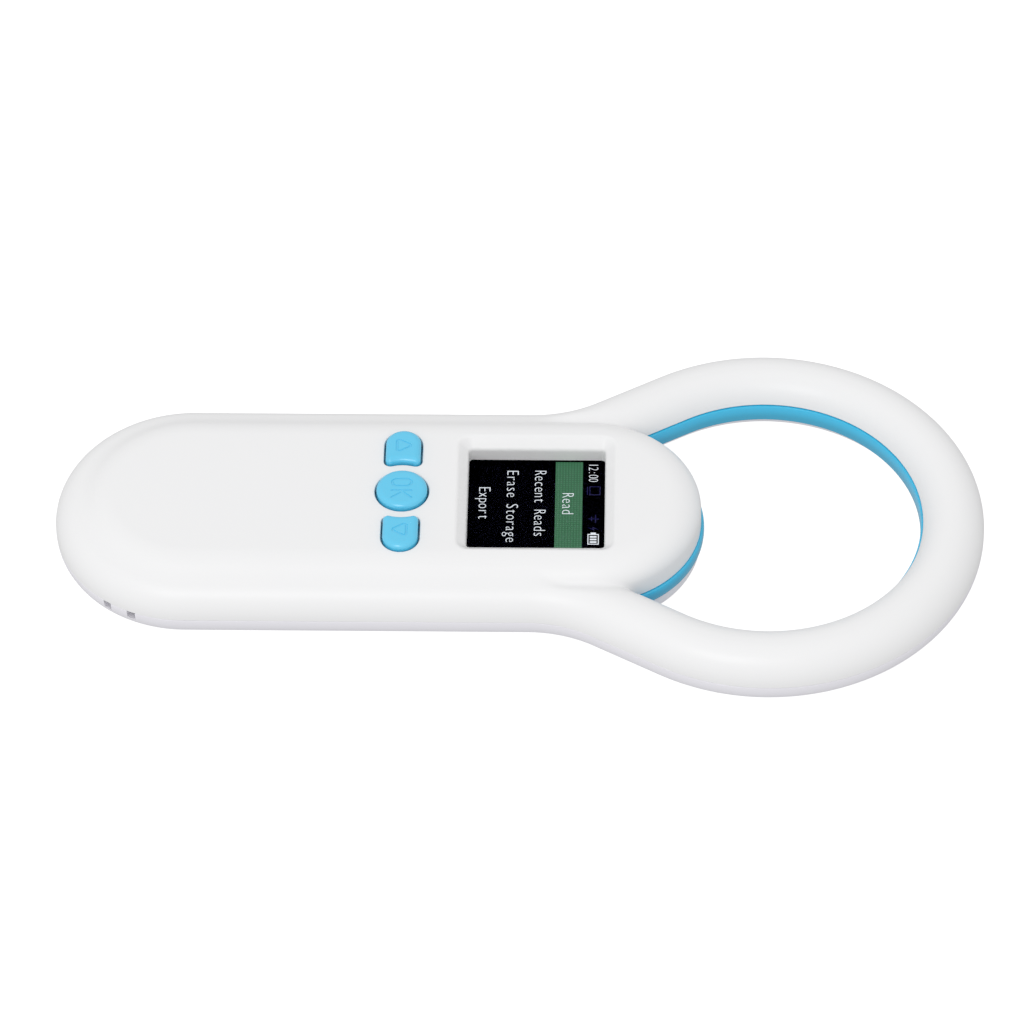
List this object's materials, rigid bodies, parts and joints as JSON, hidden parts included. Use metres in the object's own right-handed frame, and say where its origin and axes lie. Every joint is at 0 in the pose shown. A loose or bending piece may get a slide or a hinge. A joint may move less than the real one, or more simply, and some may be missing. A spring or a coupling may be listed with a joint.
{
  "type": "pet microchip scanner",
  "caption": "Hand-held microchip scanner with an antenna ring, a recessed colour display and push keys on a slim white handle.",
  "frame": {"origin": "middle of the outline, on the flat underside that the scanner rests on", "axes": "+X from the butt of the handle to the antenna ring, +Y to the side of the up key, +Z out of the display side"},
  "size_m": [0.185, 0.0868, 0.019],
  "materials": {
    "case_white": "satin moulded plastic with a very fine texture",
    "band_cyan": "satin moulded plastic",
    "key_cyan": "satin moulded plastic",
    "black_plastic": "matt moulded",
    "natural_plastic": "matt moulded, uncoloured",
    "clear_window": "clear polished window",
    "display_black": "glossy black display panel",
    "amber_film": "amber flexible film",
    "board_green": "green solder mask",
    "steel": "plain tinned steel",
    "screw_steel": "zinc-plated steel",
    "battery_foil": "laminated foil pouch",
    "foam": "adhesive foam",
    "lead_red": "insulated wire",
    "lead_black": "insulated wire",
    "copper": "enamelled copper wire, wound"
  },
  "bodies": {
    "scanner": {"accent_band": "band_cyan", "antenna_coil": "copper", "antenna_connector": "natural_plastic", "antenna_lead_a": "lead_red", "antenna_lead_b": "lead_black", "battery_cell": "battery_foil", "battery_connector": "natural_plastic", "battery_lead_black": "lead_black", "battery_lead_red": "lead_red", "battery_pad": "foam", "board_screw_1": "screw_steel", "board_screw_2": "screw_steel", "board_screw_3": "screw_steel", "board_screw_4": "screw_steel", "bottom_shell": "case_white", "buzzer": "black_plastic", "case_screw_1": "screw_steel", "case_screw_2": "screw_steel", "case_screw_3": "screw_steel", "case_screw_4": "screw_steel", "case_screw_5": "screw_steel", "case_screw_6": "screw_steel", "coil_former": "natural_plastic", "controller_chip": "black_plastic", "crystal": "steel", "display_flex": "amber_film", "display_lens": "clear_window", "display_panel": "display_black", "display_tray": "natural_plastic", "down_switch": "black_plastic", "flex_connector": "black_plastic", "main_board": "board_green", "memory_chip": "black_plastic", "ok_switch": "black_plastic", "radio_module": "steel", "reader_chip": "black_plastic", "top_shell": "case_white", "up_switch": "black_plastic", "usb_socket": "steel", "usb_tongue": "black_plastic"},
    "up_button": {"up_key": "key_cyan", "up_plunger": "natural_plastic"},
    "ok_button": {"ok_key": "key_cyan", "ok_plunger": "natural_plastic"},
    "down_button": {"down_key": "key_cyan", "down_plunger": "natural_plastic"}
  },
  "joints": [
    {"name": "up_press", "type": "slide", "parent": "scanner", "child": "up_button", "axis": [0, 0, -1], "range_m": [0, 0.0004], "stiffness_N_per_m": 1500},
    {"name": "ok_press", "type": "slide", "parent": "scanner", "child": "ok_button", "axis": [0, 0, -1], "range_m": [0, 0.0004], "stiffness_N_per_m": 1500},
    {"name": "down_press", "type": "slide", "parent": "scanner", "child": "down_button", "axis": [0, 0, -1], "range_m": [0, 0.0004], "stiffness_N_per_m": 1500}
  ]
}
